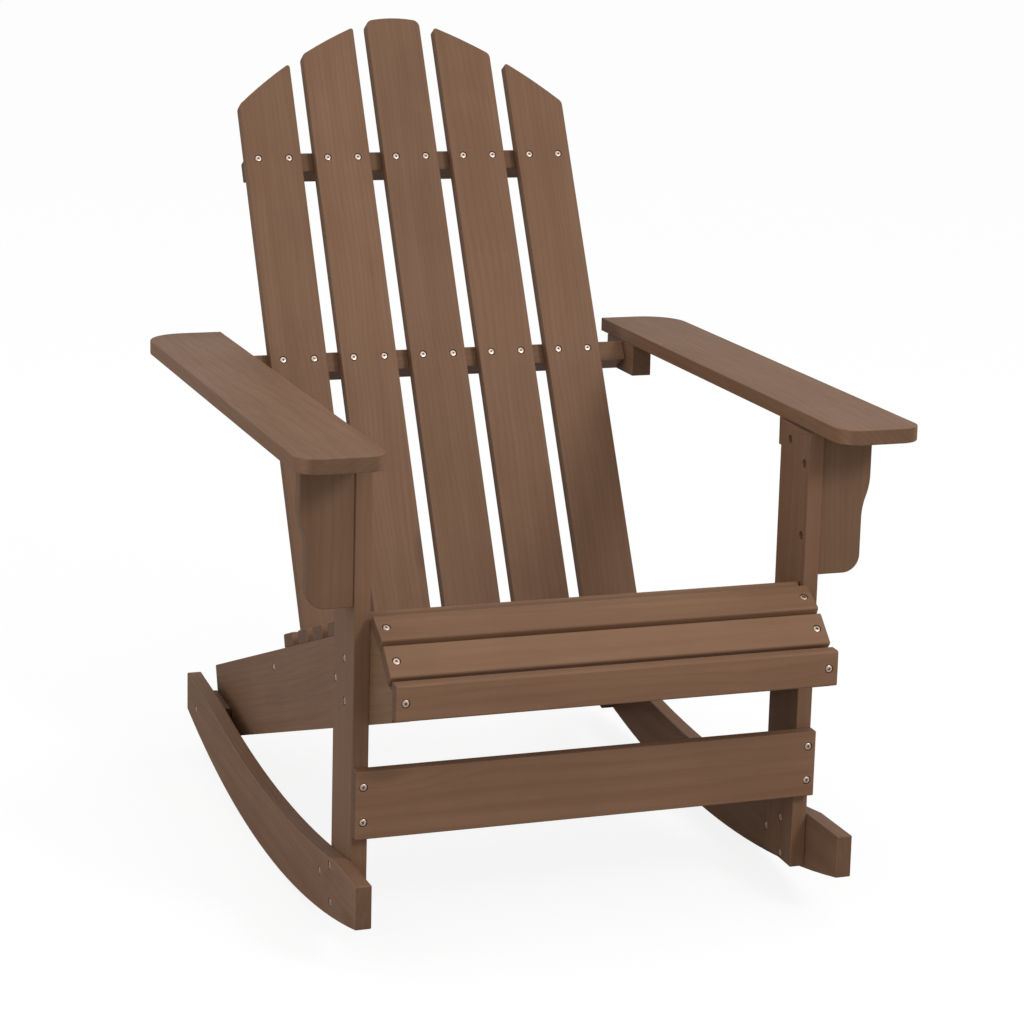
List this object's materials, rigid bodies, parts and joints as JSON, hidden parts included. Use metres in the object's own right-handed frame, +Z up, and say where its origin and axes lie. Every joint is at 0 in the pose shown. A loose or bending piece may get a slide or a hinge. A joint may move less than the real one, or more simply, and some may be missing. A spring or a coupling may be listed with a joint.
{
  "type": "outdoor rocking chair",
  "caption": "Slatted wooden outdoor rocking chair with a tall reclined back, flat arms on brackets and curved runners.",
  "frame": {"origin": "on the floor, in the middle of the chair's overall width and depth", "axes": "+X towards the right arm as seen from the front, +Y from the front of the seat to the back, +Z up"},
  "size_m": [0.7, 0.915, 0.92],
  "materials": {
    "runners": "satin brown stain",
    "legs": "satin brown stain",
    "rails": "satin brown stain",
    "blocks": "satin brown stain",
    "seat_slats": "satin brown stain",
    "back_slats": "satin brown stain",
    "crossbars": "satin brown stain",
    "arms": "satin brown stain",
    "brackets": "satin brown stain",
    "screws": "satin"
  },
  "bodies": {
    "root": {"runner_left": "runners", "runner_right": "runners", "front_leg_left": "legs", "front_leg_right": "legs", "seat_rail_left": "rails", "seat_rail_right": "rails", "rear_foot_left": "blocks", "rear_foot_right": "blocks", "front_stretcher": "seat_slats", "apron_slat": "seat_slats", "lower_nose_slat": "seat_slats", "upper_nose_slat": "seat_slats", "seat_slat_1": "seat_slats", "seat_slat_2": "seat_slats", "seat_slat_3": "seat_slats", "seat_slat_4": "seat_slats", "seat_slat_5": "seat_slats", "seat_slat_6": "seat_slats", "back_slat_1": "back_slats", "back_slat_2": "back_slats", "back_slat_3": "back_slats", "back_slat_4": "back_slats", "back_slat_5": "back_slats", "upper_crossbar": "crossbars", "middle_crossbar": "crossbars", "lower_crossbar": "crossbars", "arm_left": "arms", "arm_right": "arms", "arm_bracket_left": "brackets", "arm_bracket_right": "brackets", "arm_front_block_left": "blocks", "arm_front_block_right": "blocks", "arm_rear_block_left": "blocks", "arm_rear_block_right": "blocks", "back_slat_screws": "screws", "seat_slat_screws": "screws", "leg_rail_screws": "screws", "leg_runner_screws": "screws", "foot_screws": "screws", "stretcher_screws": "screws", "arm_support_screws": "screws", "crossbar_screws": "screws"}
  },
  "joints": []
}
